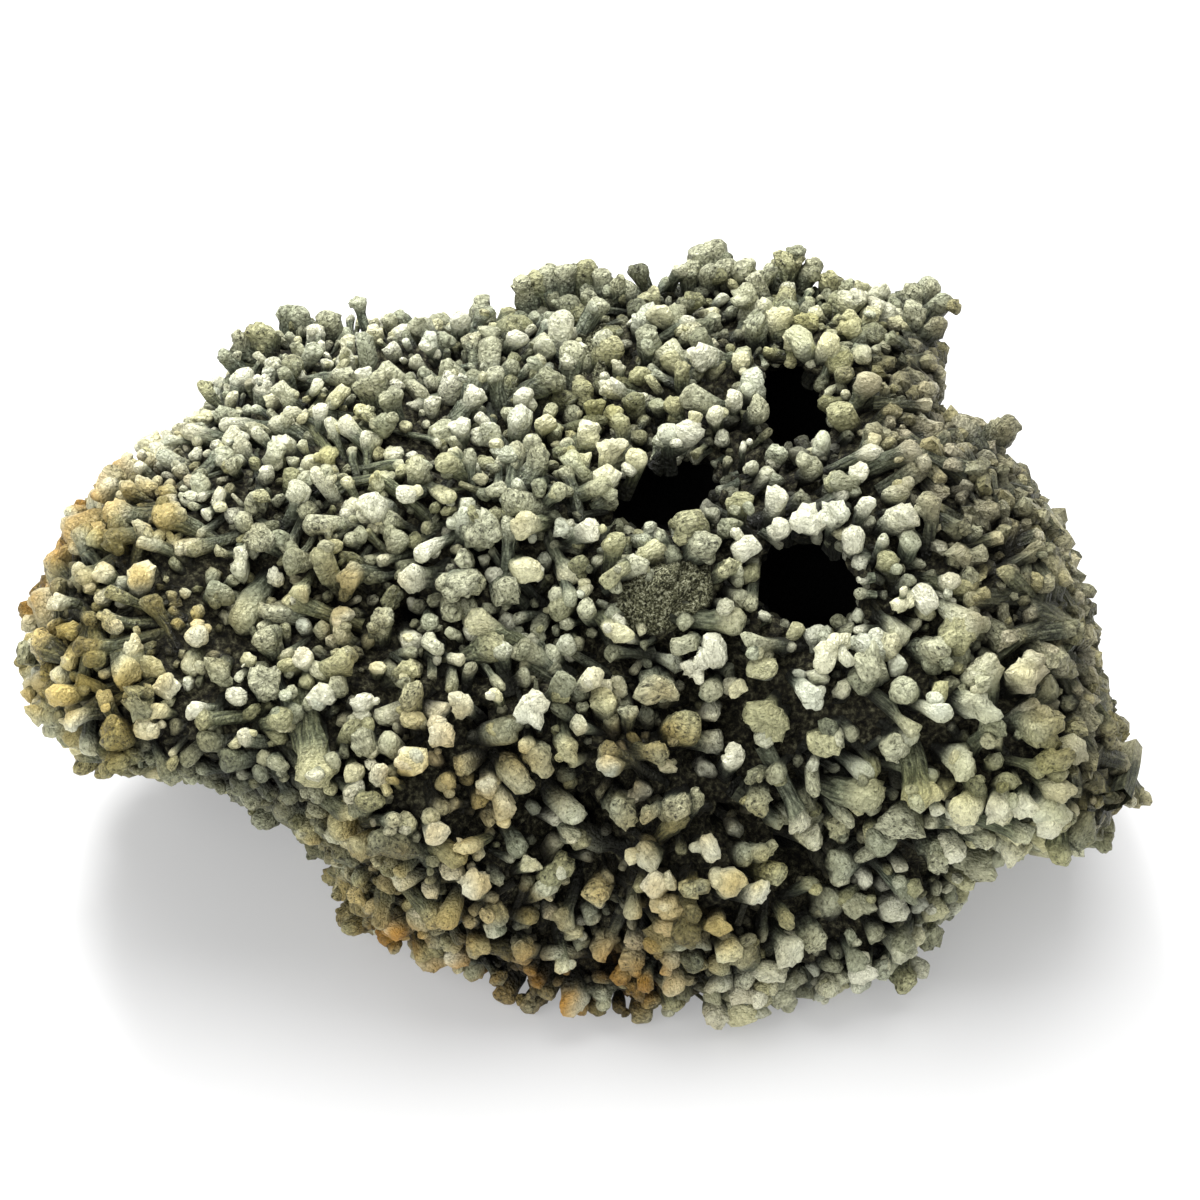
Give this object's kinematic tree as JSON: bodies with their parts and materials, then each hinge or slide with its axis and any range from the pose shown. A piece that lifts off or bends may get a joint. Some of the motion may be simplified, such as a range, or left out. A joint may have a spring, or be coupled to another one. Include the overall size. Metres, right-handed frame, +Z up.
{
  "type": "prehnite specimen",
  "caption": "Large porous boulder of blunt finger-shaped green crystals with deep dark vugs, resting on a flat base; a mineral display piece.",
  "frame": {"origin": "middle of the bounding box, on the table plane the flat base rests on", "axes": "+X along the long way to the side that is right in the picture, +Y away from the picture's viewer, +Z up"},
  "size_m": [0.2954, 0.1986, 0.1367],
  "materials": {
    "prehnite": "waxy to dull, finely rough"
  },
  "bodies": {
    "root": {"prehnite": "prehnite"}
  },
  "joints": []
}
